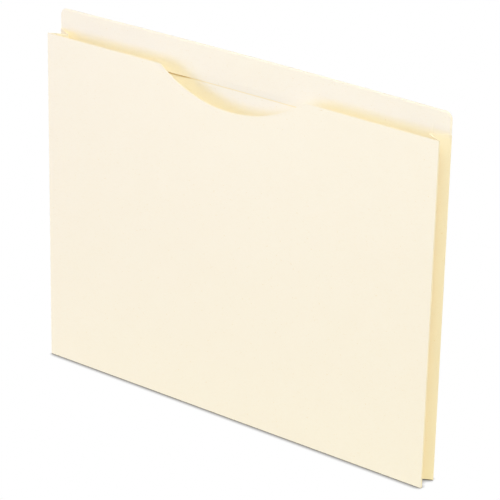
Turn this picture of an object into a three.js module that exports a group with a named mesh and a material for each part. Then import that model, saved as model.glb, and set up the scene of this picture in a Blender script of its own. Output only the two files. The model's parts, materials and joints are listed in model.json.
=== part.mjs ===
// Expanding file jacket in manila stock, standing upright and about half open.
// Millimetres, +Z up, X along the width, the front panel towards -Y.
// The origin is the middle of the base, on the surface that the jacket stands on.
import * as THREE from 'three';

// Driving sizes of the sheet and the back panel
const jacketWidth = 298.45;
const backHeight = 241.3;
const stockThickness = 0.28;
const glueThickness = 0.05;

// Tab along the top of the back panel, which rises above the front panel
const tabRise = 13.7;
const tabCornerRadius = 6.4;
const tabPlyHeight = 24.0;
const tabPlySideInset = 0.8;
const tabGlueInset = 3.0;

// Thumb cut in the middle of the front panel's top edge
const thumbCutWidth = 108.0;
const thumbCutDepth = 18.5;
const thumbCutCornerRadius = 6.0;

// Side gussets and bottom pleat: each is two halves with a score between them. The pleat opens as far as the
// gussets do, so its halves are as wide as theirs.
const gussetHalfWidth = 12.7;
const pleatHalfWidth = gussetHalfWidth;
const restFoldDegrees = 29;
const scoreGap = 0.3;
const gussetTopSetback = 0.3;
const gussetFootLift = 0.4;
const flatFoldClearance = 0.6;

// Flaps that glue the side gussets to the inside of the front panel
const glueFlapWidth = 19.0;
const glueFlapEndSetback = 5.0;
const glueFlapEndTaper = 6.0;
const glueLineWidth = 12.0;
const glueLineSideInset = 3.5;
const glueLineEndInset = 8.0;

const arcSteps = 14;

// Colours of the sheet's outer and inner sides, the folds' stock and the glue
const manilaColour = 0xfaf0d8;
const gussetColour = 0xf6e6c0;
const glueColour = 0xefe6cc;

// Places that follow from the sizes
const restFold = THREE.MathUtils.degToRad(restFoldDegrees);
const halfWidth = jacketWidth / 2;
const frontHeight = backHeight - tabRise;

// Room between the back panel's inner face and the glue flap, with each gusset half turned by the fold angle
const gussetSpread = 2 * (gussetHalfWidth * Math.sin(restFold) + stockThickness * Math.cos(restFold));
const jacketDepth = 3 * stockThickness + glueThickness + gussetSpread;
const frontOuterY = -jacketDepth / 2;
const frontInnerY = frontOuterY + stockThickness;
const flapOuterY = frontInnerY + glueThickness;
const flapInnerY = flapOuterY + stockThickness;
const backInnerY = flapInnerY + gussetSpread;
const backOuterY = backInnerY + stockThickness;
const tabPlyOuterY = backInnerY - glueThickness;

const manila = new THREE.MeshStandardMaterial({ color: manilaColour, roughness: 0.82, metalness: 0 });
const gussetManila = new THREE.MeshStandardMaterial({ color: gussetColour, roughness: 0.82, metalness: 0 });
const glue = new THREE.MeshStandardMaterial({ color: glueColour, roughness: 0.5, metalness: 0 });

// A flat sheet whose outline is drawn in X and Z. Its rear face lies at y = 0 and its front face at -thickness.
function uprightSheet(outline, thickness) {
  const geometry = new THREE.ExtrudeGeometry(outline, {
    depth: thickness,
    bevelEnabled: false,
    curveSegments: arcSteps,
  });
  geometry.rotateX(Math.PI / 2);
  return geometry;
}

function namedMesh(name, geometry, material) {
  const mesh = new THREE.Mesh(geometry, material);
  mesh.name = name;
  return mesh;
}

function rectangle(left, right, bottom, top) {
  const outline = new THREE.Shape();
  outline.moveTo(left, bottom);
  outline.lineTo(right, bottom);
  outline.lineTo(right, top);
  outline.lineTo(left, top);
  outline.closePath();
  return outline;
}

function backPanel() {
  const cornerX = halfWidth - tabCornerRadius;
  const cornerZ = backHeight - tabCornerRadius;
  const outline = new THREE.Shape();
  outline.moveTo(-halfWidth, 0);
  outline.lineTo(halfWidth, 0);
  outline.absarc(cornerX, cornerZ, tabCornerRadius, 0, Math.PI / 2, false);
  outline.absarc(-cornerX, cornerZ, tabCornerRadius, Math.PI / 2, Math.PI, false);
  outline.closePath();
  const mesh = namedMesh('back_panel', uprightSheet(outline, stockThickness), manila);
  mesh.position.y = backOuterY;
  return mesh;
}

// The second ply follows the tab's own rounded corners, a little inside its edges. Its lower corners are cut
// away, so that the gussets can lie flat against the back panel beside it.
function tabPly() {
  const radius = tabCornerRadius - tabPlySideInset;
  const side = halfWidth - tabPlySideInset;
  const top = backHeight - tabPlySideInset;
  const bottom = backHeight - tabPlyHeight;
  const shoulder = frontHeight + flatFoldClearance;
  const lowerSide = halfWidth - gussetHalfWidth - flatFoldClearance;
  const outline = new THREE.Shape();
  outline.moveTo(-lowerSide, bottom);
  outline.lineTo(lowerSide, bottom);
  outline.lineTo(lowerSide, shoulder);
  outline.lineTo(side, shoulder);
  outline.absarc(side - radius, top - radius, radius, 0, Math.PI / 2, false);
  outline.absarc(radius - side, top - radius, radius, Math.PI / 2, Math.PI, false);
  outline.lineTo(-side, shoulder);
  outline.lineTo(-lowerSide, shoulder);
  outline.closePath();
  const mesh = namedMesh('tab_ply', uprightSheet(outline, stockThickness), manila);
  mesh.position.y = tabPlyOuterY;
  return mesh;
}

function tabGlue() {
  const glueHalfWidth = halfWidth - gussetHalfWidth - flatFoldClearance - tabGlueInset;
  const glueBottom = backHeight - tabPlyHeight + tabGlueInset;
  const glueTop = backHeight - tabPlySideInset - tabGlueInset;
  const outline = rectangle(-glueHalfWidth, glueHalfWidth, glueBottom, glueTop);
  const mesh = namedMesh('tab_glue', uprightSheet(outline, glueThickness), glue);
  mesh.position.y = backInnerY;
  return mesh;
}

// The thumb cut is one shallow arc. Each end is eased into the top edge by a small arc that touches both.
function frontPanelOutline() {
  const cutRadius = (thumbCutWidth ** 2 / 4 + thumbCutDepth ** 2) / (2 * thumbCutDepth);
  const cutCentreZ = frontHeight - thumbCutDepth + cutRadius;
  const easeCentreZ = frontHeight - thumbCutCornerRadius;
  const easeRise = cutCentreZ - easeCentreZ;
  const easeCentreX = Math.sqrt((cutRadius + thumbCutCornerRadius) ** 2 - easeRise ** 2);
  const easeAngle = Math.atan2(easeRise, -easeCentreX);

  const outline = new THREE.Shape();
  outline.moveTo(-halfWidth, 0);
  outline.lineTo(halfWidth, 0);
  outline.lineTo(halfWidth, frontHeight);
  outline.absarc(easeCentreX, easeCentreZ, thumbCutCornerRadius, Math.PI / 2, easeAngle, false);
  outline.absarc(0, cutCentreZ, cutRadius, easeAngle - Math.PI, -easeAngle, true);
  outline.absarc(-easeCentreX, easeCentreZ, thumbCutCornerRadius, Math.PI - easeAngle, Math.PI / 2, false);
  outline.lineTo(-halfWidth, frontHeight);
  outline.closePath();
  return outline;
}

function frontPanel() {
  const mesh = namedMesh('front_panel', uprightSheet(frontPanelOutline(), stockThickness), manila);
  mesh.position.y = frontInnerY;
  return mesh;
}

// A glue flap lies on the front panel's inner face. Its free edge is shorter than its fold, so both ends slant.
function glueFlap(name, side) {
  const foldX = side * (halfWidth - scoreGap);
  const freeX = side * (halfWidth - glueFlapWidth);
  const foldBottom = glueFlapEndSetback;
  const foldTop = frontHeight - glueFlapEndSetback;
  const outline = new THREE.Shape();
  outline.moveTo(foldX, foldBottom);
  outline.lineTo(foldX, foldTop);
  outline.lineTo(freeX, foldTop - glueFlapEndTaper);
  outline.lineTo(freeX, foldBottom + glueFlapEndTaper);
  outline.closePath();
  const mesh = namedMesh(name, uprightSheet(outline, stockThickness), gussetManila);
  mesh.position.y = flapInnerY;
  return mesh;
}

function glueLine(name, side) {
  const outerX = side * (halfWidth - glueLineSideInset);
  const innerX = side * (halfWidth - glueLineSideInset - glueLineWidth);
  const bottom = glueFlapEndSetback + glueLineEndInset;
  const top = frontHeight - glueFlapEndSetback - glueLineEndInset;
  const outline = rectangle(Math.min(outerX, innerX), Math.max(outerX, innerX), bottom, top);
  const mesh = namedMesh(name, uprightSheet(outline, glueThickness), glue);
  mesh.position.y = flapOuterY;
  return mesh;
}

// One side gusset, made for the right side: the left one is the same with its turns and X reversed.
// The rear half turns about the back panel's inner edge. The front half turns about the valley between the two,
// which lies on their outer faces, and ends at the glue flap's fold.
function sideGusset(sideName, side) {
  const height = frontHeight - gussetTopSetback - gussetFootLift;
  const reach = gussetHalfWidth - 2 * scoreGap;
  const halfGeometry = new THREE.BoxGeometry(reach, stockThickness, height);
  const middleZ = gussetFootLift + height / 2;
  const middleX = scoreGap + reach / 2;

  const rear = namedMesh(`${sideName}_gusset_rear`, halfGeometry, gussetManila);
  rear.position.set(-side * middleX, -stockThickness / 2, middleZ);
  const front = namedMesh(`${sideName}_gusset_front`, halfGeometry, gussetManila);
  front.position.set(side * middleX, -stockThickness / 2, middleZ);

  const valley = new THREE.Group();
  valley.position.set(-side * gussetHalfWidth, -stockThickness, 0);
  valley.rotation.z = -side * 2 * restFold;
  valley.add(front);

  const gusset = new THREE.Group();
  gusset.position.set(side * halfWidth, backInnerY, 0);
  gusset.rotation.z = side * restFold;
  gusset.add(rear, valley);
  return gusset;
}

// The bottom pleat folds as the gussets do, about level axes, and rises between the panels to a ridge.
// Its ends are cut square, inside the gussets' reach when they lie flat.
function bottomPleat() {
  const length = jacketWidth - 2 * (gussetHalfWidth + flatFoldClearance);
  const reach = pleatHalfWidth - 2 * scoreGap;
  const halfGeometry = new THREE.BoxGeometry(length, stockThickness, reach);
  const middle = scoreGap + reach / 2;

  const rear = namedMesh('bottom_pleat_rear', halfGeometry, gussetManila);
  rear.position.set(0, -stockThickness / 2, middle);
  const front = namedMesh('bottom_pleat_front', halfGeometry, gussetManila);
  front.position.set(0, -stockThickness / 2, -middle);

  const ridge = new THREE.Group();
  ridge.position.set(0, -stockThickness, pleatHalfWidth);
  ridge.rotation.x = -2 * restFold;
  ridge.add(front);

  const pleat = new THREE.Group();
  pleat.position.set(0, backInnerY, stockThickness);
  pleat.rotation.x = restFold;
  pleat.add(rear, ridge);
  return pleat;
}

const jacket = new THREE.Group();
jacket.add(backPanel(), tabPly(), tabGlue(), frontPanel(), bottomPleat());
for (const [sideName, side] of [['left', -1], ['right', 1]]) {
  jacket.add(sideGusset(sideName, side));
  jacket.add(glueFlap(`${sideName}_glue_flap`, side));
  jacket.add(glueLine(`${sideName}_glue_line`, side));
}

export default jacket;
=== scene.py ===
# %% [markdown]
# # A manila file jacket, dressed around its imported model
#
# The object is one sheet of cream card stock that is scored, folded and glued: a tall back panel with a
# doubled tab, a lower front panel with a thumb cut, a folded gusset at each side and a pleat along the
# bottom. Nothing on it is thicker than two plies and the glue between them, so the looks come from three
# things: where the sheet bends, how its cut edges and folds catch the light, and how light bounces between
# the two panels and turns the shade a deeper yellow.
#
# The first cell loads the model as a fixed frame. Every length below is in metres, in the model's own
# frame: X runs along the width, the front panel faces -Y and Z is up.

# %% Load the frame
import json
import math

import bpy
import numpy as np
from mathutils import Matrix, Vector


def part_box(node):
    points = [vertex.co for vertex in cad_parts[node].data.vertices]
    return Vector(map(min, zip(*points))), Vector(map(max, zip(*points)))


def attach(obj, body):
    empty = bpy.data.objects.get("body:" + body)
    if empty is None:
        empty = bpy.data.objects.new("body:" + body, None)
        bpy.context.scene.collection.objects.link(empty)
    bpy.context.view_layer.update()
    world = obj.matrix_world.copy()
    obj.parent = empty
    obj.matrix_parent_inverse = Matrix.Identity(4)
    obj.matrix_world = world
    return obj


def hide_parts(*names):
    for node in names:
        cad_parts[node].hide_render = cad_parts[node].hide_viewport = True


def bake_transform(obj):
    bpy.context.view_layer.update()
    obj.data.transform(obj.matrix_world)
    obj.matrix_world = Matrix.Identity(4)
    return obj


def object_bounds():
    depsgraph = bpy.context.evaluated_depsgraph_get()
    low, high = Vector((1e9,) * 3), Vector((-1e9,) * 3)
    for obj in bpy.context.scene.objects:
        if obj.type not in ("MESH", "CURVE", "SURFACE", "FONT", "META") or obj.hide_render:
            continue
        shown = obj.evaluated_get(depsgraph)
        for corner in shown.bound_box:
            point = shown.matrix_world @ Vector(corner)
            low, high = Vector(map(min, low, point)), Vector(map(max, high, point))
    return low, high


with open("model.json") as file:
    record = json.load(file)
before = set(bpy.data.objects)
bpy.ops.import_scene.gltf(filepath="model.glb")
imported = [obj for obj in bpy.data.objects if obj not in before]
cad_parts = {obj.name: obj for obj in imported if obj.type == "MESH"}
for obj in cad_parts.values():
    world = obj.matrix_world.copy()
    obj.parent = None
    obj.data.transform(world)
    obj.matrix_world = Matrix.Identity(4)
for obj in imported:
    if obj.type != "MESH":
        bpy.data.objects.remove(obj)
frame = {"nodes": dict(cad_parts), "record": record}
cad_low, cad_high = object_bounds()
MM = 0.001
print(f"{len(frame['nodes'])} nodes; size in mm:", [round(v / MM, 1) for v in cad_high - cad_low])

# %% [markdown]
# ## The camera
#
# The photograph was taken from the front right and a little above, with a long lens. Its camera was found
# by matching the corners of both panels to the model's own corners. It could be aimed with a Track To
# constraint, but the fitted picture is rolled by about a degree, so three plain turns are easier to read:
# round the vertical, down, then roll. Its lens and sensor are in millimetres.

# %% Camera at the photograph's viewing angle
CAMERA_PLACE = Vector((0.8864, -1.1830, 0.7621))
CAMERA_TURN = math.radians(36.52)
CAMERA_DROP = math.radians(23.63)
CAMERA_ROLL = math.radians(1.21)
CAMERA_LENS = 185.2
CAMERA_SENSOR_WIDTH = 36.0
CAMERA_NEAREST = 0.05
CAMERA_FARTHEST = 50.0

camera_data = bpy.data.cameras.new("camera")
camera_data.lens = CAMERA_LENS
camera_data.sensor_width = CAMERA_SENSOR_WIDTH
camera_data.clip_start = CAMERA_NEAREST
camera_data.clip_end = CAMERA_FARTHEST
camera = bpy.data.objects.new("camera", camera_data)
bpy.context.scene.collection.objects.link(camera)
turned = Matrix.Rotation(CAMERA_TURN, 4, "Z")
lowered = Matrix.Rotation(math.pi / 2 - CAMERA_DROP, 4, "X")
rolled = Matrix.Rotation(CAMERA_ROLL, 4, "Z")
camera.matrix_world = Matrix.Translation(CAMERA_PLACE) @ turned @ lowered @ rolled
bpy.context.scene.camera = camera
print("camera distance from the jacket, m:", round(CAMERA_PLACE.length, 2))

# %% [markdown]
# ## Sizes that the looks share
#
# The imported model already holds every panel, so its boxes give the planes that new surfaces must lie on.
# The fold angle, the gap at a score, the flaps' width and the room left for a flat fold can't be read off a
# box, so they are repeated here. The thumb cut and the tab's corners are fitted to the photograph, and
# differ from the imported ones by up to 2.5 mm.

# %% Planes and sizes from the frame
front_low, front_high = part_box("front_panel")
back_low, back_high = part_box("back_panel")
ply_low, ply_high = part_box("tab_ply")
flap_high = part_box("right_glue_flap")[1]
gusset_low, gusset_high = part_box("right_gusset_rear")
pleat_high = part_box("bottom_pleat_rear")[1]

STOCK = front_high.y - front_low.y
HALF_WIDTH = back_high.x
FOLD_ANGLE = math.radians(29.0)
FOLD_HALF_WIDTH = 12.7 * MM
SCORE_GAP = 0.3 * MM
FOLD_CLEARANCE = 0.6 * MM
THUMB_CUT_WIDTH = 109.8 * MM
THUMB_CUT_DEPTH = 19.2 * MM
THUMB_CUT_CORNER = 3.5 * MM
TAB_CORNER = 4.8 * MM
FLAP_WIDTH = 19.0 * MM
print("stock in mm:", round(STOCK / MM, 3), "half width in mm:", round(HALF_WIDTH / MM, 3))

# %% [markdown]
# ## Turning points into a closed sheet
#
# Paper has two faces a stock's thickness apart, and a cut edge all round. A Solidify modifier could add the
# second face, but then the cut edge would be out of reach. Here both faces are computed as grids of points,
# and one helper joins them with walls, so that every piece is a closed solid whose edge can be shaped and
# coloured on its own.

# %% Helper: a closed sheet from two grids of points
SHARP_ANGLE = math.radians(40.0)


def closed_sheet(name, outer, inner):
    """Makes a mesh object from two grids of points, each of shape (rows, columns, 3).

    The outer face's normal is the column direction times the row direction. The walls follow the rim of
    both grids, so each rim point has one neighbour on the other face.
    """
    rows, columns, _ = outer.shape
    count = rows * columns
    number = np.arange(count).reshape(rows, columns)
    corners = [number[:-1, :-1], number[:-1, 1:], number[1:, 1:], number[1:, :-1]]
    quads = np.stack(corners, axis=-1).reshape(-1, 4)
    rim = np.concatenate([number[0, :-1], number[:-1, -1], number[-1, :0:-1], number[:0:-1, 0]])
    following = np.roll(rim, -1)
    walls = np.stack([rim, rim + count, following + count, following], axis=-1)
    faces = np.concatenate([quads, quads[:, ::-1] + count, walls])
    points = np.concatenate([outer.reshape(-1, 3), inner.reshape(-1, 3)])

    mesh = bpy.data.meshes.new(name)
    mesh.vertices.add(len(points))
    mesh.vertices.foreach_set("co", points.astype(np.float32).ravel())
    mesh.loops.add(faces.size)
    mesh.loops.foreach_set("vertex_index", faces.astype(np.int32).ravel())
    mesh.polygons.add(len(faces))
    mesh.polygons.foreach_set("loop_start", np.arange(0, faces.size, 4, dtype=np.int32))
    mesh.update(calc_edges=True)
    mesh.validate()
    mesh.shade_smooth()
    mesh.set_sharp_from_angle(angle=SHARP_ANGLE)
    piece = bpy.data.objects.new(name, mesh)
    bpy.context.scene.collection.objects.link(piece)
    return piece


print("edges sharper than this many degrees stay sharp:", round(math.degrees(SHARP_ANGLE)))

# %% Helpers: where the rows and columns of a grid go
MERGE_DISTANCE = 0.01 * MM


def span(start, end, step):
    """Evenly spaced numbers from start to end, both included, no further apart than step."""
    return np.linspace(start, end, max(2, int(math.ceil(abs(end - start) / step)) + 1))


def unique_sorted(*runs):
    """All the numbers of several runs in rising order, without any that is too close to the one before."""
    merged = np.unique(np.concatenate(runs))
    keep = np.concatenate([[True], np.diff(merged) > MERGE_DISTANCE])
    return merged[keep]


print("a run from 0 to 1 in steps of 0.4 at most:", np.round(span(0, 1, 0.4), 2))

# %% [markdown]
# ## Manila stock
#
# Manila card is made of unbleached fibres pressed flat. From a step away it is one even cream, and close up
# it has faint clouds, short fibres lying mostly one way, and a few darker specks. It could be one flat
# colour with noise on top. Three layers at the sizes of the real things look better close up, and vanish at
# the photograph's distance.
#
# The pattern reads Object coordinates. Every finished piece sits at the origin, so the pattern stays in the
# sheet. A scale counts pattern sizes in a metre, so the clouds are some 17 mm across, and the fibres 2 mm
# long and under a millimetre wide.

# %% Helper: nodes
def new_material(name):
    """A material with an empty tree, its Principled shader and its output."""
    material = bpy.data.materials.new(name)
    material.use_nodes = True
    tree = material.node_tree
    tree.nodes.clear()
    shader = tree.nodes.new("ShaderNodeBsdfPrincipled")
    output = tree.nodes.new("ShaderNodeOutputMaterial")
    tree.links.new(shader.outputs["BSDF"], output.inputs["Surface"])
    return material, tree, shader


def stretched_coordinates(tree, stretch):
    """Object coordinates, scaled apart along X, Y and Z."""
    coordinates = tree.nodes.new("ShaderNodeTexCoord")
    mapping = tree.nodes.new("ShaderNodeMapping")
    mapping.inputs["Scale"].default_value = stretch
    tree.links.new(coordinates.outputs["Object"], mapping.inputs["Vector"])
    return mapping.outputs["Vector"]


def noise(tree, vector, scale, detail=3.0, roughness=0.55):
    """A noise texture's value, from 0 to 1."""
    node = tree.nodes.new("ShaderNodeTexNoise")
    node.inputs["Scale"].default_value = scale
    node.inputs["Detail"].default_value = detail
    node.inputs["Roughness"].default_value = roughness
    tree.links.new(vector, node.inputs["Vector"])
    return node.outputs["Fac"]


def ramp(tree, value, low, high, to_low=0.0, to_high=1.0):
    """Maps a value from low..high to to_low..to_high, clamped."""
    node = tree.nodes.new("ShaderNodeMapRange")
    node.inputs["From Min"].default_value = low
    node.inputs["From Max"].default_value = high
    node.inputs["To Min"].default_value = to_low
    node.inputs["To Max"].default_value = to_high
    tree.links.new(value, node.inputs["Value"])
    return node.outputs["Result"]


def combined(tree, operation, first, second):
    """A Math node's value. The first is another node's output, and the second is that or a number."""
    node = tree.nodes.new("ShaderNodeMath")
    node.operation = operation
    tree.links.new(first, node.inputs[0])
    if isinstance(second, float):
        node.inputs[1].default_value = second
    else:
        tree.links.new(second, node.inputs[1])
    return node.outputs["Value"]


def mixed(tree, share, first, second):
    """A colour mixed from first to second by share. Each is a colour or another node's output."""
    node = tree.nodes.new("ShaderNodeMix")
    node.data_type = "RGBA"
    tree.links.new(share, node.inputs["Factor"])
    for socket, colour in ((node.inputs["A"], first), (node.inputs["B"], second)):
        if isinstance(colour, tuple):
            socket.default_value = (*colour, 1.0)
        else:
            tree.links.new(colour, socket)
    return node.outputs["Result"]


print("node helpers ready")

# %% Material: manila stock
EVENLY = (1.0, 1.0, 1.0)
FIBRE_STRETCH = (0.35, 1.0, 1.6)
CLOUD_SCALE = 60.0
CLOUD_STRENGTH = 0.08
FIBRE_SCALE = 1400.0
FIBRE_STRENGTH = 0.35
FLECK_SCALE = 900.0
CARD_ROUGHNESS = (0.78, 0.92)
CARD_ROUGHNESS_SCALE = 500.0
CARD_SPECULAR = 0.2
TOOTH_SCALE = 2200.0
TOOTH_STRENGTH = 0.25
TOOTH_DEPTH = 0.02 * MM


def part_way(first, second, share):
    """A colour that lies the given share of the way from the first to the second."""
    return tuple((1 - share) * a + share * b for a, b in zip(first, second))


def manila_stock(name, colour, shade):
    """Card of a base colour, with clouds, fibres and flecks towards a darker shade of it.

    Clouds and fibres go part of the way to that shade, and flecks go all the way. Each of the three is a
    noise, and its ramp sets how much of the noise shows, and how softly it ends.
    """
    material, tree, shader = new_material(name)
    even = stretched_coordinates(tree, EVENLY)
    along = stretched_coordinates(tree, FIBRE_STRETCH)

    clouds = ramp(tree, noise(tree, even, CLOUD_SCALE, detail=4.0), 0.35, 0.75)
    fibres = ramp(tree, noise(tree, along, FIBRE_SCALE, detail=2.0, roughness=0.7), 0.56, 0.72)
    flecks = ramp(tree, noise(tree, even, FLECK_SCALE, detail=1.0), 0.735, 0.76)
    clouded = mixed(tree, clouds, colour, part_way(colour, shade, CLOUD_STRENGTH))
    fibred = mixed(tree, fibres, clouded, part_way(colour, shade, FIBRE_STRENGTH))
    flecked = mixed(tree, flecks, fibred, shade)
    tree.links.new(flecked, shader.inputs["Base Color"])

    rough = ramp(tree, noise(tree, even, CARD_ROUGHNESS_SCALE), 0.0, 1.0, *CARD_ROUGHNESS)
    tree.links.new(rough, shader.inputs["Roughness"])
    shader.inputs["Specular IOR Level"].default_value = CARD_SPECULAR

    tooth = tree.nodes.new("ShaderNodeBump")
    tooth.inputs["Strength"].default_value = TOOTH_STRENGTH
    tooth.inputs["Distance"].default_value = TOOTH_DEPTH
    tree.links.new(noise(tree, along, TOOTH_SCALE, detail=2.0), tooth.inputs["Height"])
    tree.links.new(tooth.outputs["Normal"], shader.inputs["Normal"])
    return material


PANEL_COLOUR = (0.985, 0.925, 0.775)
PANEL_SHADE = (0.930, 0.830, 0.620)
GUSSET_COLOUR = (0.980, 0.915, 0.755)
GUSSET_SHADE = (0.925, 0.815, 0.600)
panel_paper = manila_stock("manila_panel_stock", PANEL_COLOUR, PANEL_SHADE)
gusset_paper = manila_stock("manila_gusset_stock", GUSSET_COLOUR, GUSSET_SHADE)
print("manila colours:", PANEL_COLOUR, GUSSET_COLOUR)

# %% [markdown]
# ## The back panel's stock and its painted shade
#
# Seen through the thumb cut, a yellow line runs along the lower edge of the tab's second ply: deep amber at
# the left, and a fine pale line at the right. It is the shade in the narrow crease under the ply's edge,
# painted as a tint in the panel's own stock. It could be a piece of its own, but a film that thin has no
# shape to show, so it is a tint in the panel's own stock. The tint follows a level line, and an attribute
# of the panel's mesh keeps it off the outer face.

# %% Material: the back panel's stock
# Colours and widths of the painted shade under the ply's edge: deep at the left, pale at the right.
PALE_PAINTED_SHADE_COLOUR = (0.98, 0.84, 0.46)
DEEP_PAINTED_SHADE_COLOUR = (0.57, 0.35, 0.03)
DEEP_PAINTED_SHADE_END = -50.0 * MM
PALE_PAINTED_SHADE_START = -43.0 * MM
PAINTED_SHADE_DROP = 0.25 * MM
DEEP_PAINTED_SHADE_HALF_WIDTH = 1.2 * MM
PALE_PAINTED_SHADE_HALF_WIDTH = 0.60 * MM


def add_painted_shade_line(material, height):
    """Paints shade into a material along a level line at a height.

    The painted shade is full on the line and fades to none at its half width. Between the deep part's end and
    the pale part's start, along X, both the colour and the half width go from the deep part's to the pale
    part's. The attribute "outside" is 1 on the face that stays unshaded, and 0 on the face that has the
    painted shade.
    """
    tree = material.node_tree
    shader = next(node for node in tree.nodes if node.type == "BSDF_PRINCIPLED")
    plain = shader.inputs["Base Color"].links[0].from_socket
    coordinates = tree.nodes.new("ShaderNodeTexCoord")
    parts = tree.nodes.new("ShaderNodeSeparateXYZ")
    tree.links.new(coordinates.outputs["Object"], parts.inputs["Vector"])
    x, z = parts.outputs["X"], parts.outputs["Z"]
    outside = tree.nodes.new("ShaderNodeAttribute")
    outside.attribute_name = "outside"

    # Painted shade: deep and wide at the left, pale and narrow at the right.
    thinning = ramp(tree, x, DEEP_PAINTED_SHADE_END, PALE_PAINTED_SHADE_START)
    tint = mixed(tree, thinning, DEEP_PAINTED_SHADE_COLOUR, PALE_PAINTED_SHADE_COLOUR)
    widths = (DEEP_PAINTED_SHADE_HALF_WIDTH, PALE_PAINTED_SHADE_HALF_WIDTH)
    half_width = ramp(tree, x, DEEP_PAINTED_SHADE_END, PALE_PAINTED_SHADE_START, *widths)
    away = combined(tree, "ABSOLUTE", combined(tree, "SUBTRACT", z, height), 0.0)
    unshaded = ramp(tree, combined(tree, "DIVIDE", away, half_width), 0.0, 1.0)
    unshaded = combined(tree, "MAXIMUM", unshaded, outside.outputs["Fac"])
    tree.links.new(mixed(tree, unshaded, tint, plain), shader.inputs["Base Color"])


# Painted shade along the crease under the ply's lower edge. Its height is printed below.
painted_shade_z = ply_low.z - PAINTED_SHADE_DROP
back_paper_with_painted_shade = manila_stock("manila_back_stock_painted_shade", PANEL_COLOUR, PANEL_SHADE)
add_painted_shade_line(back_paper_with_painted_shade, painted_shade_z)
print("height of the glue trace in mm:", round(painted_shade_z / MM, 2))

# %% [markdown]
# ## Dried glue
#
# The glue between the plies is a thin line of white adhesive that dries clear and slightly amber. It only
# shows as a hairline between two cut edges, so a satin surface with a soft variation in tone is enough.

# %% Material: dried glue
GLUE_COLOUR = (0.86, 0.80, 0.66)
GLUE_SHADE = (0.78, 0.70, 0.54)
GLUE_CLOUD_SCALE = 120.0
GLUE_ROUGHNESS = (0.35, 0.55)
GLUE_ROUGHNESS_SCALE = 300.0


def dried_glue():
    """A clear amber film with slow clouds and a satin shine."""
    material, tree, shader = new_material("dried_glue")
    even = stretched_coordinates(tree, EVENLY)
    clouds = ramp(tree, noise(tree, even, GLUE_CLOUD_SCALE), 0.3, 0.7)
    tree.links.new(mixed(tree, clouds, GLUE_COLOUR, GLUE_SHADE), shader.inputs["Base Color"])
    rough = ramp(tree, noise(tree, even, GLUE_ROUGHNESS_SCALE), 0.0, 1.0, *GLUE_ROUGHNESS)
    tree.links.new(rough, shader.inputs["Roughness"])
    return material


glue_film = dried_glue()
print("glue colour:", GLUE_COLOUR)

# %% [markdown]
# ## What stays as packed
#
# The gusset halves, the pleat's halves, the glue flaps and the lines of glue on them are flat, which is
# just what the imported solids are. They keep their meshes and only get a finish. The two panels, the tab's
# ply and the glue under it get new sheets below, because they bow, and those hide the solids that they
# stand for.

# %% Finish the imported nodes
SLOT_FINISH = {"manila_panel": panel_paper, "manila_gusset": gusset_paper, "glue": glue_film}
node_slots = {part["node"]: part["material_slot"] for part in frame["record"]["subparts"]}
for node_name, node in frame["nodes"].items():
    node.data.materials.clear()
    node.data.materials.append(SLOT_FINISH[node_slots[node_name]])
print("finished nodes:", len(node_slots))


def dress(piece, slot_name):
    """Gives a new piece the finish of the given slot."""
    piece.data.materials.append(SLOT_FINISH[slot_name])
    return piece


# %% [markdown]
# ## The front panel
#
# The front panel is a sheet with a wide, shallow thumb cut in its top edge. A curve with a fill would give
# the outline but no points in the middle to bend. So the sheet is a grid: each column of points runs from
# the bottom edge to the top edge at its own X, and the top edge's height is a formula. Columns are closer
# together where the cut turns.
#
# No jacket is quite as drawn. The photographed one was folded 2.5 mm off its die's middle, so its thumb cut
# stands to the left. Between its two glued sides, the panel bellies forward by half a millimetre and its
# free top edge leans back by one.

# %% Outline of the front panel
def thumb_cut_shape(top):
    """The cut's radius and centre height, and how far from its middle each corner's arc starts and meets it.

    A chord and its depth give the radius: a quarter of the chord's square plus the depth's square, over
    twice the depth. The centre of a corner's arc is its radius below the top edge, and the sum of both radii
    away from the cut's centre.
    """
    radius = (THUMB_CUT_WIDTH**2 / 4 + THUMB_CUT_DEPTH**2) / (2 * THUMB_CUT_DEPTH)
    centre_z = top - THUMB_CUT_DEPTH + radius
    rise = centre_z - (top - THUMB_CUT_CORNER)
    ease_x = math.sqrt((radius + THUMB_CUT_CORNER) ** 2 - rise**2)
    meet_x = ease_x * radius / (radius + THUMB_CUT_CORNER)
    return radius, centre_z, ease_x, meet_x


CUT_MIDDLE = -2.5 * MM


def front_top_edge(x):
    """Height of the top edge at each x.

    Outside the cut it is level. Inside, it is the lower part of a circle, and at each corner a small circle
    that touches both the large one and the level edge.
    """
    top = front_high.z
    radius, centre_z, ease_x, meet_x = thumb_cut_shape(top)
    away = np.abs(x - CUT_MIDDLE)
    in_cut = centre_z - np.sqrt(np.maximum(radius**2 - away**2, 0))
    eased = top - THUMB_CUT_CORNER + np.sqrt(np.maximum(THUMB_CUT_CORNER**2 - (away - ease_x) ** 2, 0))
    return np.where(away >= ease_x, top, np.where(away >= meet_x, eased, in_cut))


middle_top = front_top_edge(np.array([CUT_MIDDLE]))[0]
print("depth in the middle of the cut in mm:", round((front_high.z - middle_top) / MM, 2))

# %% Bow of the front panel
FRONT_BELLY = 0.5 * MM
FRONT_LEAN = 1.0 * MM
FLAP_MARGIN = 2.0 * MM


def front_bow(x, z):
    """How far the front panel stands forward of flat.

    Upwards it is half a sine wave for the belly, less the lean, which grows with the cube of the height.
    Across, both are multiplied by a share that falls from 1 in the middle to 0 where the side flaps are
    glued: 1 less the square of how far out x is, to the power 1.5.
    """
    free_half = HALF_WIDTH - FLAP_WIDTH - FLAP_MARGIN
    across = (1 - np.clip(x / free_half, -1, 1) ** 2) ** 1.5
    up = np.clip((z - front_low.z) / (front_high.z - front_low.z), 0, 1)
    return across * (FRONT_BELLY * np.sin(math.pi * up) - FRONT_LEAN * up**3)


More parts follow.
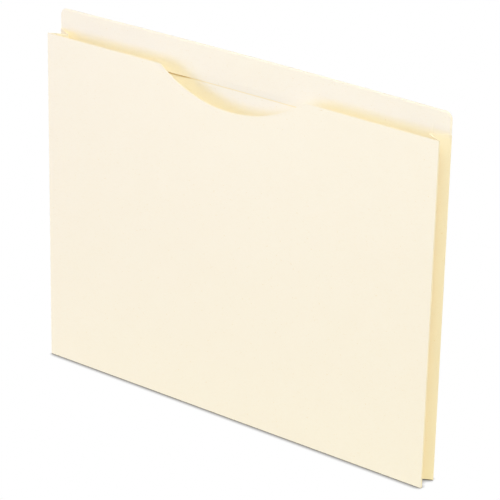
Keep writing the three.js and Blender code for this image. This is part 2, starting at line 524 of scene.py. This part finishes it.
middle_bow = front_bow(0.0, (front_low.z + front_high.z) / 2)
print("bow in the middle of the front in mm:", round(middle_bow / MM, 2))

# %% Columns of the front panel
CUT_STEP = 1.6 * MM
CUT_CORNER_STEP = 0.3 * MM
FRONT_STEP = 2.5 * MM

radius, centre_z, ease_x, meet_x = thumb_cut_shape(front_high.z)
half_cut = unique_sorted(span(0, meet_x, CUT_STEP), span(meet_x, ease_x, CUT_CORNER_STEP))
cut_columns = CUT_MIDDLE + unique_sorted(-half_cut[::-1], half_cut)
left_columns = span(-HALF_WIDTH, cut_columns[0], FRONT_STEP)
right_columns = span(cut_columns[-1], HALF_WIDTH, FRONT_STEP)
front_columns = unique_sorted(left_columns, cut_columns, right_columns)
print("thumb cut radius in mm:", round(radius / MM, 2), "columns:", len(front_columns))

# %% Build the front panel
ROW_COUNT = 90


def panel_points(columns, bottom, top, y, bow):
    """A grid of points in the plane y, each moved forward by its bow. A column runs from bottom to top."""
    share = np.linspace(0.0, 1.0, ROW_COUNT)[:, None]
    x = np.broadcast_to(columns, (ROW_COUNT, len(columns)))
    z = bottom + share * (top - bottom)
    return np.stack([x, y - bow(x, z), z], axis=-1)


front_tops = front_top_edge(front_columns)
front_outer = panel_points(front_columns, front_low.z, front_tops, front_low.y, front_bow)
front_inner = panel_points(front_columns, front_low.z, front_tops, front_high.y, front_bow)
front_sheet = closed_sheet("front_sheet", front_outer, front_inner)
dress(front_sheet, "manila_panel")
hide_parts("front_panel")
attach(front_sheet, "front")
print("front sheet faces:", len(front_sheet.data.polygons))

# %% [markdown]
# ## The back panel and its tab
#
# The back panel is taller by the tab, and the tab's two corners are rounded. The same kind of grid makes
# it: the top edge's formula falls along a quarter circle at each end, with the columns packed closely
# there.
#
# Only its sides and foot are held by folds, so its free top edge bows back, by 2.4 mm in the middle. A
# cosine across and the square of the height give that bow, and the tab's second ply and the glue under it
# take the same one.

# %% Outline and bow of the back panel
CORNER_COLUMNS = 15
BACK_LEAN = 2.4 * MM


def rounded_top(x, side, top, corner):
    """Height of a top edge that ends in a quarter circle at x = side and x = -side."""
    into_corner = np.clip(np.abs(x) - (side - corner), 0, corner)
    return top - corner + np.sqrt(np.maximum(corner**2 - into_corner**2, 0))


def rounded_columns(side, corner, step):
    """X of each column: even in the middle, and by equal angles round the corners."""
    angles = np.linspace(0, math.pi / 2, CORNER_COLUMNS)
    corner_x = side - corner + corner * np.sin(angles)
    half = unique_sorted(span(0, side - corner, step), corner_x)
    return unique_sorted(-half[::-1], half)


def back_bow(x, z):
    """How far the back panel stands forward of flat.

    It is minus the lean, times a cosine that is 0 at both sides, times the square of the height's share.
    """
    across = np.cos(np.clip(x / HALF_WIDTH, -1, 1) * math.pi / 2)
    up = np.clip((z - back_low.z) / (back_high.z - back_low.z), 0, 1)
    return -BACK_LEAN * across * up**2


print("bow in the middle of the tab's edge in mm:", round(back_bow(0.0, back_high.z) / MM, 2))

# %% Build the back panel
BACK_STEP = 3.0 * MM

back_columns = rounded_columns(HALF_WIDTH, TAB_CORNER, BACK_STEP)
back_tops = rounded_top(back_columns, HALF_WIDTH, back_high.z, TAB_CORNER)
back_front_face = panel_points(back_columns, back_low.z, back_tops, back_low.y, back_bow)
back_rear_face = panel_points(back_columns, back_low.z, back_tops, back_high.y, back_bow)
back_sheet = closed_sheet("back_sheet", back_front_face, back_rear_face)

# The painted shade is left off the points of the rear face, which come second in the sheet.
face_points = back_front_face.shape[0] * back_front_face.shape[1]
outside = back_sheet.data.attributes.new("outside", "FLOAT", "POINT")
outside.data.foreach_set("value", np.repeat(np.array([0.0, 1.0], dtype=np.float32), face_points))
back_sheet.data.materials.append(back_paper_with_painted_shade)
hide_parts("back_panel")
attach(back_sheet, "back")
print("back sheet faces:", len(back_sheet.data.polygons))

# %% [markdown]
# ## The tab's second ply
#
# A strip is glued over the inner face of the tab to stiffen it. The glue stops short of its lower edge, so
# that edge is free to curl. Seen through the thumb cut, it stands off the back panel at the left, over the
# deep part of the painted shade. At the right it lies flat and is pressed thin. At both ends the ply steps
# up beside the gussets. A bent strip with a straight lower edge would be simpler, but the photograph shows
# that edge closely, so both the curl and the thinning are formulas of X and the height.

# %% Shape of the tab ply
PLY_INSET = HALF_WIDTH - ply_high.x
PLY_CORNER = TAB_CORNER - PLY_INSET
PLY_FREE_MARGIN = 14.0 * MM
PLY_CURL = 0.45 * MM
CURL_MIDDLE = -57.0 * MM
CURL_REACH = 13.0 * MM
PRESSED_MARGIN = 4.0 * MM
PRESSED_DEPTH = 0.22 * MM

step_x = HALF_WIDTH - FOLD_HALF_WIDTH - FOLD_CLEARANCE
shoulder_z = front_high.z + FOLD_CLEARANCE


def ply_bottom(x):
    """Height of the lower edge: it steps up beside the gussets, so that they can fold flat there."""
    return np.where(np.abs(x) > step_x, shoulder_z, ply_low.z)


def curled(x):
    """The share of the full curl at x.

    It is a bell: the exponential of minus the square of how many reaches x is away from the curl's middle.
    """
    return np.exp(-(((x - CURL_MIDDLE) / CURL_REACH) ** 2))


def ply_bow(x, z):
    """How far the ply stands forward of flat: the curl and the back panel's bow.

    The curl falls from the lower edge to the top of the free margin, with the power 1.5 of the part that is
    left.
    """
    near_edge = np.clip(1 - (z - ply_low.z) / PLY_FREE_MARGIN, 0, 1)
    return PLY_CURL * curled(x) * near_edge**1.5 + back_bow(x, z)


def ply_pressed(x, z):
    """How much thinner the ply is.

    It is most at the lower edge and evenly less up to the margin, times the share that isn't curled.
    """
    near_edge = np.clip(1 - (z - ply_bottom(x)) / PRESSED_MARGIN, 0, 1)
    return PRESSED_DEPTH * near_edge * (1 - curled(x))


print("share of the curl at the middle of the cut:", round(float(curled(CUT_MIDDLE)), 6))

# %% Build the tab ply
PLY_STEP = 2.0 * MM
SHOULDER_RUN = 0.02 * MM

# The rows are shares of the height, closest together at the lower edge. Two columns at each shoulder make
# its step.
ply_rows = unique_sorted(span(0, 0.06, 0.01), span(0.06, 0.45, 0.026), span(0.45, 1, 0.06))
shoulder_columns = np.array([-step_x - SHOULDER_RUN, -step_x, step_x, step_x + SHOULDER_RUN])
ply_columns = unique_sorted(rounded_columns(ply_high.x, PLY_CORNER, PLY_STEP), shoulder_columns)
ply_tops = rounded_top(ply_columns, ply_high.x, ply_high.z, PLY_CORNER)
ply_z = ply_bottom(ply_columns) + ply_rows[:, None] * (ply_tops - ply_bottom(ply_columns))
ply_x = np.broadcast_to(ply_columns, ply_z.shape)
ply_front_face = np.stack([ply_x, ply_low.y - ply_bow(ply_x, ply_z), ply_z], axis=-1)
ply_rear_face = ply_front_face + np.array([0.0, ply_high.y - ply_low.y, 0.0])
ply_front_face[:, :, 1] += ply_pressed(ply_x, ply_z)
ply_sheet = closed_sheet("tab_ply_sheet", ply_front_face, ply_rear_face)
dress(ply_sheet, "manila_panel")
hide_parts("tab_ply")
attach(ply_sheet, "back")
print("ply faces:", len(ply_sheet.data.polygons))

# %% Build the glue under the ply
GLUE_STEP = 4.0 * MM

glue_low, glue_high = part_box("tab_glue")
glue_columns = span(glue_low.x, glue_high.x, GLUE_STEP)
glue_tops = np.full(len(glue_columns), glue_high.z)
glue_front_face = panel_points(glue_columns, glue_low.z, glue_tops, glue_low.y, back_bow)
glue_rear_face = panel_points(glue_columns, glue_low.z, glue_tops, glue_high.y, back_bow)
glue_sheet = closed_sheet("tab_glue_film", glue_front_face, glue_rear_face)
dress(glue_sheet, "glue")
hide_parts("tab_glue")
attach(glue_sheet, "back")
print("glue faces:", len(glue_sheet.data.polygons))

# %% [markdown]
# ## The folds
#
# Where the sheet is scored it bends round a short arc. The inner faces meet in a sharp crease, and the
# outer face wraps round it at the stock's thickness. Each fold is a strip that is carried straight along
# its hinge: a short straight piece, an arc and another straight piece, drawn across the hinge and then
# drawn out along it. No single joint joins the bodies beside the left front fold and the fold at the
# front panel's foot, and those two ride on the front panel. The other strips stay where they are built.

# %% Helper: the profile of a fold
ARC_POINTS = 12


def fold_profile(centre, first_angle, last_angle, inner_radius, first_run, last_run):
    """Outer and inner points across a fold, in a plane at right angles to its hinge.

    The arc turns about the centre from first_angle to last_angle. Each run goes on straight from an end of
    the arc, at right angles to its radius, and has the stock's thickness too. A run of no length is left
    out.
    """
    angles = np.linspace(first_angle, last_angle, ARC_POINTS)
    turn = 1.0 if last_angle > first_angle else -1.0
    spokes = np.stack([np.cos(angles), np.sin(angles)], axis=-1)
    first_along = turn * np.array([math.sin(first_angle), -math.cos(first_angle)])
    last_along = turn * np.array([-math.sin(last_angle), math.cos(last_angle)])
    faces = []
    for radius in (inner_radius + STOCK, inner_radius):
        arc = np.asarray(centre) + radius * spokes
        before = arc[0] + first_along * first_run
        after = arc[-1] + last_along * last_run
        run_points = ([before] if first_run > 0 else []) + list(arc) + ([after] if last_run > 0 else [])
        faces.append(np.array(run_points))
    return faces


print("points on each arc:", ARC_POINTS)

# %% Helper: a strip from its profile
STRIP_STEP = 4.0 * MM
UPRIGHT = (0, 1, 2)
LEVEL = (1, 2, 0)


def fold_strip(name, profile, axes, start, end):
    """Carries a fold's profile straight along its hinge, from start to end.

    The axes say which coordinates, of X, Y and Z, the profile's two columns and the hinge are.
    """
    places = span(start, end, STRIP_STEP)
    grids = []
    for face in profile:
        grid = np.zeros((len(places), len(face), 3))
        grid[:, :, axes[0]] = face[:, 0]
        grid[:, :, axes[1]] = face[:, 1]
        grid[:, :, axes[2]] = places[:, None]
        grids.append(grid)
    return outward_sheet(name, *grids)


def outward_sheet(name, outer, inner):
    """A closed sheet whose faces point out, whichever way its profile runs.

    The cross product of its first two edges is the normal. Where that points inwards, both grids are turned
    round.
    """
    across = outer[0, 1] - outer[0, 0]
    along = outer[1, 0] - outer[0, 0]
    outward = outer[0, 0] - inner[0, 0]
    if np.dot(np.cross(across, along), outward) < 0:
        outer = outer[:, ::-1]
        inner = inner[:, ::-1]
    return closed_sheet(name, outer, inner)


print("step along a strip in mm:", round(STRIP_STEP / MM, 2))

# %% [markdown]
# ## The upright folds
#
# Each side has three: where the back panel turns in, the valley down the middle of the gusset, and where
# the gusset turns on to the flap that is glued inside the front panel. The left side is the right side with
# X reversed.

# %% Hinges of the upright folds
CREASE = 0.02 * MM
QUARTER = math.pi / 2

towards_valley = np.array([-math.cos(FOLD_ANGLE), -math.sin(FOLD_ANGLE)])
off_rear_half = np.array([math.sin(FOLD_ANGLE), -math.cos(FOLD_ANGLE)])
hinge_back = np.array([HALF_WIDTH, back_low.y])
hinge_valley = hinge_back + FOLD_HALF_WIDTH * towards_valley + STOCK * off_rear_half
hinge_front = np.array([HALF_WIDTH, flap_high.y])
print("valley hinge in mm:", np.round(hinge_valley / MM, 4))

# %% Build the upright folds
# Each fold's hinge, the angles where its arc starts and ends, and the straight runs before and after it
upright_profiles = {
    "back_fold": (hinge_back, QUARTER, FOLD_ANGLE - QUARTER, 0.0, SCORE_GAP),
    "valley_fold": (hinge_valley, QUARTER + FOLD_ANGLE, 3 * QUARTER - FOLD_ANGLE, SCORE_GAP, SCORE_GAP),
    "front_fold": (hinge_front, QUARTER - FOLD_ANGLE, -QUARTER, SCORE_GAP, SCORE_GAP),
}
for side_name, mirror in (("left", -1.0), ("right", 1.0)):
    for fold_name, (centre, first, last, run_in, run_out) in upright_profiles.items():
        right_profile = fold_profile(centre, first, last, CREASE, run_in, run_out)
        profile = [face * np.array([mirror, 1.0]) for face in right_profile]
        strip = fold_strip(f"{side_name}_{fold_name}", profile, UPRIGHT, gusset_low.z, gusset_high.z)
        dress(strip, "manila_gusset")
        if (side_name, fold_name) == ("left", "front_fold"):
            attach(strip, "front")
        else:
            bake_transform(strip)
print("upright folds:", 2 * len(upright_profiles))

# %% [markdown]
# ## The level folds
#
# The bottom pleat has three more: at the foot of the back panel, along its ridge, and at the foot of the
# front panel, where the sheet turns up and in round a slightly wider arc that touches the surface it stands
# on.

# %% Profiles of the rear foot fold and the ridge fold
pleat_half_length = pleat_high.x
foot_hinge = np.array([back_low.y, STOCK])
ridge_hinge = foot_hinge + FOLD_HALF_WIDTH * np.array([-math.sin(FOLD_ANGLE), math.cos(FOLD_ANGLE)])
ridge_hinge = ridge_hinge + STOCK * np.array([-math.cos(FOLD_ANGLE), -math.sin(FOLD_ANGLE)])
foot_profile = fold_profile(foot_hinge, -QUARTER, -2 * QUARTER + FOLD_ANGLE, CREASE, 0.0, SCORE_GAP)
ridge_profile = fold_profile(ridge_hinge, FOLD_ANGLE, math.pi - FOLD_ANGLE, CREASE, SCORE_GAP, SCORE_GAP)
print("ridge hinge in mm:", np.round(ridge_hinge / MM, 4))

# %% Build the rear foot fold and the ridge fold
foot_fold = fold_strip("rear_foot_fold", foot_profile, LEVEL, -pleat_half_length, pleat_half_length)
dress(foot_fold, "manila_gusset")
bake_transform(foot_fold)
ridge_fold = fold_strip("ridge_fold", ridge_profile, LEVEL, -pleat_half_length, pleat_half_length)
dress(ridge_fold, "manila_gusset")
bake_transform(ridge_fold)
print("length of the level folds in mm:", round(2 * pleat_half_length / MM, 2))

# %% Build the fold at the front panel's foot
# The arc touches the floor, the panel's outer face and the pleat's lower face, which gives its radius. It
# ends just short of the pleat's front half, which swings down past it when the jacket opens.
FOOT_FOLD_MARGIN = math.radians(4.0)
pleat_front_end = np.array([flap_high.y, STOCK])
pleat_lower_normal = np.array([math.cos(FOLD_ANGLE), -math.sin(FOLD_ANGLE)])
lower_face_point = pleat_front_end + STOCK * pleat_lower_normal
corner = np.array([front_low.y, 0.0])
offset = np.dot(lower_face_point - corner, pleat_lower_normal)
foot_radius = offset / (1 + np.dot(np.array([1.0, 1.0]), pleat_lower_normal))
front_foot_centre = corner + foot_radius
front_foot_end = 2 * math.pi - FOLD_ANGLE - FOOT_FOLD_MARGIN
inner_radius = foot_radius - STOCK
front_foot_profile = fold_profile(front_foot_centre, 3 * QUARTER, front_foot_end, inner_radius, 0.0, 0.0)
front_foot_fold = fold_strip(
    "front_foot_fold", front_foot_profile, LEVEL, -pleat_half_length, pleat_half_length
)
dress(front_foot_fold, "manila_gusset")
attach(front_foot_fold, "front")
print("front foot fold radius in mm:", round(foot_radius / MM, 3))

# %% [markdown]
# ## The floor
#
# The photograph is high key: everything round the jacket is pure white, and only a thin grey line under its
# bottom edges ties it to the surface. Two floors share that work, as in a studio where the white sweep is
# lit apart from the product. The one that the camera sees glows evenly, and darkens only within a few
# millimetres of what touches it. The one that the jacket sees is a table-sized board that throws a weaker,
# warmer light up at it, with a brighter board on it round the jacket's foot. The camera doesn't see these
# two, and they lie a hair lower.

# %% Helpers: a floor and a glow
def level_plane(name, half_x, half_y, height):
    """A rectangular floor of the given half sizes at a height."""
    signs = ((-1, -1), (1, -1), (1, 1), (-1, 1))
    corners = [(x * half_x, y * half_y, height) for x, y in signs]
    mesh = bpy.data.meshes.new(name)
    mesh.from_pydata(corners, [], [(0, 1, 2, 3)])
    plane = bpy.data.objects.new(name, mesh)
    bpy.context.scene.collection.objects.link(plane)
    return plane


def glowing(name, colour):
    """A material that only glows, with its tree and its emission node."""
    material = bpy.data.materials.new(name)
    material.use_nodes = True
    tree = material.node_tree
    tree.nodes.clear()
    glow = tree.nodes.new("ShaderNodeEmission")
    glow.inputs["Color"].default_value = (*colour, 1.0)
    output = tree.nodes.new("ShaderNodeOutputMaterial")
    tree.links.new(glow.outputs["Emission"], output.inputs["Surface"])
    return material, tree, glow


print("floor helpers ready")

# %% Stage: the floor that the camera sees
WHITE = (1.0, 1.0, 1.0)
# Colour of the painted contact shadow, where the glow dims near the jacket.
CONTACT_SHADOW_COLOUR = (0.05, 0.03, 0.0)
CONTACT_REACH = 6.5 * MM
CONTACT_SAMPLES = 32
DARKEST_OPENNESS = 0.436
WHITE_OPENNESS = 0.853
SWEEP_HALF_SIZE = 6.0
SWEEP_HEIGHT = -0.05 * MM


def white_sweep(reach):
    """A white glow with a painted contact shadow: it dims where something stands within reach of the surface.
    """
    material, tree, glow = glowing("white_sweep", WHITE)
    nearness = tree.nodes.new("ShaderNodeAmbientOcclusion")
    nearness.samples = CONTACT_SAMPLES
    nearness.inputs["Distance"].default_value = reach
    openness = ramp(tree, nearness.outputs["AO"], DARKEST_OPENNESS, WHITE_OPENNESS)
    tree.links.new(mixed(tree, openness, CONTACT_SHADOW_COLOUR, WHITE), glow.inputs["Color"])
    return material


sweep = level_plane("sweep", SWEEP_HALF_SIZE, SWEEP_HALF_SIZE, SWEEP_HEIGHT)
sweep.data.materials.append(white_sweep(CONTACT_REACH))
sweep.visible_diffuse = False
sweep.visible_glossy = False
sweep.visible_transmission = False
sweep.visible_shadow = False
print("reach of the contact shadow in mm:", round(CONTACT_REACH / MM, 1))

# %% Stage: the boards that light the jacket from below
TABLE_HALF_SIZE = 1.3
TABLE_HEIGHT = -0.10 * MM
TABLE_GLOW = (0.75, 0.57, 0.23)
FOOT_BOARD_HALF_X = 0.35
FOOT_BOARD_HALF_Y = 0.20
FOOT_BOARD_HEIGHT = -0.08 * MM
FOOT_BOARD_GLOW = (0.88, 0.75, 0.38)

table = level_plane("table", TABLE_HALF_SIZE, TABLE_HALF_SIZE, TABLE_HEIGHT)
foot_board = level_plane("foot_board", FOOT_BOARD_HALF_X, FOOT_BOARD_HALF_Y, FOOT_BOARD_HEIGHT)
for board, colour in ((table, TABLE_GLOW), (foot_board, FOOT_BOARD_GLOW)):
    board.data.materials.append(glowing(f"{board.name}_glow", colour)[0])
    board.visible_camera = False
print("glow of the table and of the foot board:", TABLE_GLOW, FOOT_BOARD_GLOW)

# %% [markdown]
# ## The light
#
# In the photograph the lit card is cream and its shade is a deep yellow that is hardly darker. Card under
# white light alone turns brown there. So the light that the shade can't see, a low bank in front, is
# bluish, and the light that reaches in from the table and from straight above is warm. The bank stands a
# little to the left, since the shade behind the thumb cut is deep at its left end and faint at its right. A
# cooler box from the high right, and soft boxes at both sides and behind, light the rest.

# %% Room
DIFFUSE_BOUNCES = 12
ROOM_COLOUR = (0.10, 0.05, 0.02)

scene = bpy.context.scene
scene.view_settings.view_transform = "Standard"
scene.cycles.diffuse_bounces = DIFFUSE_BOUNCES


def dim_room(colour):
    """A world that lights the jacket with a dim colour, and that the camera sees as white."""
    world = bpy.data.worlds.new("dim_room")
    world.use_nodes = True
    tree = world.node_tree
    tree.nodes.clear()
    seen = tree.nodes.new("ShaderNodeLightPath")
    either = tree.nodes.new("ShaderNodeMixShader")
    tree.links.new(seen.outputs["Is Camera Ray"], either.inputs["Fac"])
    for place, shade in ((1, colour), (2, WHITE)):
        background = tree.nodes.new("ShaderNodeBackground")
        background.inputs["Color"].default_value = (*shade, 1.0)
        tree.links.new(background.outputs["Background"], either.inputs[place])
    output = tree.nodes.new("ShaderNodeOutputWorld")
    tree.links.new(either.outputs["Shader"], output.inputs["Surface"])
    return world


scene.world = dim_room(ROOM_COLOUR)
print("room colour:", ROOM_COLOUR)

# %% Lights
LAMP_DISTANCE = 1.5


def soft_box(name, azimuth, elevation, size, power, colour):
    """A rectangular light, aimed at the jacket's middle. Azimuth 0 is in front of it, and 90 to its right."""
    turn, rise = math.radians(azimuth), math.radians(elevation)
    level = math.cos(rise)
    direction = Vector((math.sin(turn) * level, -math.cos(turn) * level, math.sin(rise)))
    light = bpy.data.lights.new(name, "AREA")
    light.shape = "RECTANGLE"
    light.size, light.size_y = size
    light.energy = power
    light.color = colour
    lamp = bpy.data.objects.new(name, light)
    lamp.location = Vector((0, 0, cad_high.z / 2)) + direction * LAMP_DISTANCE
    lamp.rotation_mode = "QUATERNION"
    lamp.rotation_quaternion = (-direction).to_track_quat("-Z", "Y")
    lamp.visible_camera = False
    scene.collection.objects.link(lamp)


soft_box("front_bank", azimuth=-20, elevation=5, size=(1.6, 0.8), power=14.7, colour=(0.36, 0.50, 1.0))
soft_box("high_box", azimuth=0, elevation=60, size=(2.4, 1.0), power=16.0, colour=(1.0, 0.84, 0.66))
soft_box("high_right_box", azimuth=40, elevation=50, size=(1.2, 1.0), power=10.0, colour=(0.64, 0.97, 1.0))
soft_box("right_box", azimuth=90, elevation=25, size=(1.2, 1.0), power=6.2, colour=(1.0, 0.90, 0.87))
soft_box("left_box", azimuth=-90, elevation=25, size=(1.2, 1.0), power=5.0, colour=(1.0, 1.0, 0.80))
soft_box("back_bank", azimuth=180, elevation=5, size=(2.4, 0.8), power=29.0, colour=(0.69, 0.76, 1.0))
